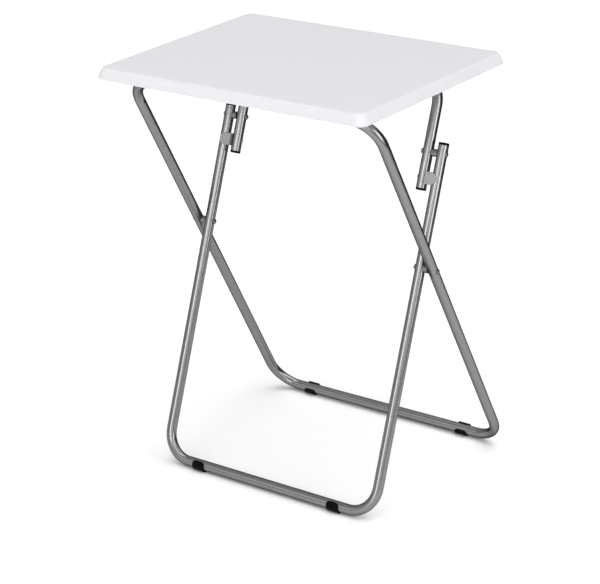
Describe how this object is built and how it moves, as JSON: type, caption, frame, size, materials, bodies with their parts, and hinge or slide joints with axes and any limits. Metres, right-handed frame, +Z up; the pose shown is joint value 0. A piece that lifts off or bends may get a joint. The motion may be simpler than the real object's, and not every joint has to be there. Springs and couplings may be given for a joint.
{
  "type": "folding tray table",
  "caption": "Folding tray table: a white rectangular board on crossed bent-tube frames, with a swinging bracket and latch clips that let it fold flat.",
  "frame": {"origin": "on the floor, under the middle of the whole table's bounding box", "axes": "+Z up; +X to the right along the board's long side; +Y to the rear, away from the inner frame's foot bar"},
  "size_m": [0.48, 0.4114, 0.66],
  "materials": {
    "white_board": "white foil with a fine satin grain",
    "silver_paint": "satin silver-grey powder coat",
    "black_plastic": "glossy black moulded plastic",
    "grey_plastic": "warm grey moulded nylon",
    "zinc_steel": "zinc-plated steel"
  },
  "bodies": {
    "inner_frame": {"inner_frame_tube": "silver_paint", "leg_plug_left": "black_plastic", "leg_plug_right": "black_plastic", "front_foot_left": "black_plastic", "front_foot_right": "black_plastic", "scissor_bolt_left": "zinc_steel", "scissor_bolt_right": "zinc_steel", "scissor_nut_left": "zinc_steel", "scissor_nut_right": "zinc_steel", "scissor_spacer_left": "zinc_steel", "scissor_spacer_right": "zinc_steel", "scissor_inner_washer_left": "zinc_steel", "scissor_inner_washer_right": "zinc_steel", "bracket_bolt_left": "zinc_steel", "bracket_bolt_right": "zinc_steel", "bracket_nut_left": "zinc_steel", "bracket_nut_right": "zinc_steel", "bracket_spacer_left": "zinc_steel", "bracket_spacer_right": "zinc_steel", "leg_washer_left": "zinc_steel", "leg_washer_right": "zinc_steel"},
    "outer_frame": {"outer_frame_tube": "silver_paint", "rear_foot_left": "black_plastic", "rear_foot_right": "black_plastic", "scissor_outer_washer_left": "zinc_steel", "scissor_outer_washer_right": "zinc_steel"},
    "bracket": {"bracket_tube": "silver_paint", "arm_plug_left": "black_plastic", "arm_plug_right": "black_plastic", "arm_washer_left": "zinc_steel", "arm_washer_right": "zinc_steel", "latch_clip_left": "grey_plastic", "latch_clip_right": "grey_plastic", "clip_rivet_left": "zinc_steel", "clip_rivet_right": "zinc_steel"},
    "top": {"table_top": "white_board", "front_saddle_left": "grey_plastic", "front_saddle_right": "grey_plastic", "rear_saddle_left": "grey_plastic", "rear_saddle_right": "grey_plastic", "front_saddle_screws_left": "zinc_steel", "front_saddle_screws_right": "zinc_steel", "rear_saddle_screws_left": "zinc_steel", "rear_saddle_screws_right": "zinc_steel"}
  },
  "joints": [
    {"name": "bracket_swing", "type": "hinge", "parent": "inner_frame", "child": "bracket", "pos_m": [0, 0.05997, 0.52483], "axis": [-1, 0, 0], "range_deg": [0, 174]},
    {"name": "frame_fold", "type": "hinge", "parent": "outer_frame", "child": "inner_frame", "pos_m": [0, -0.0014, 0.365], "axis": [1, 0, 0], "range_deg": [0, 48.74]},
    {"name": "top_tilt", "type": "hinge", "parent": "bracket", "child": "top", "pos_m": [0, 0.10196, 0.6342], "axis": [1, 0, 0], "range_deg": [0, 66.86]}
  ],
  "couplings": [
    {"joint": "frame_fold", "follows": "bracket_swing", "ratio": 0.28009},
    {"joint": "top_tilt", "follows": "bracket_swing", "ratio": 0.38427}
  ]
}
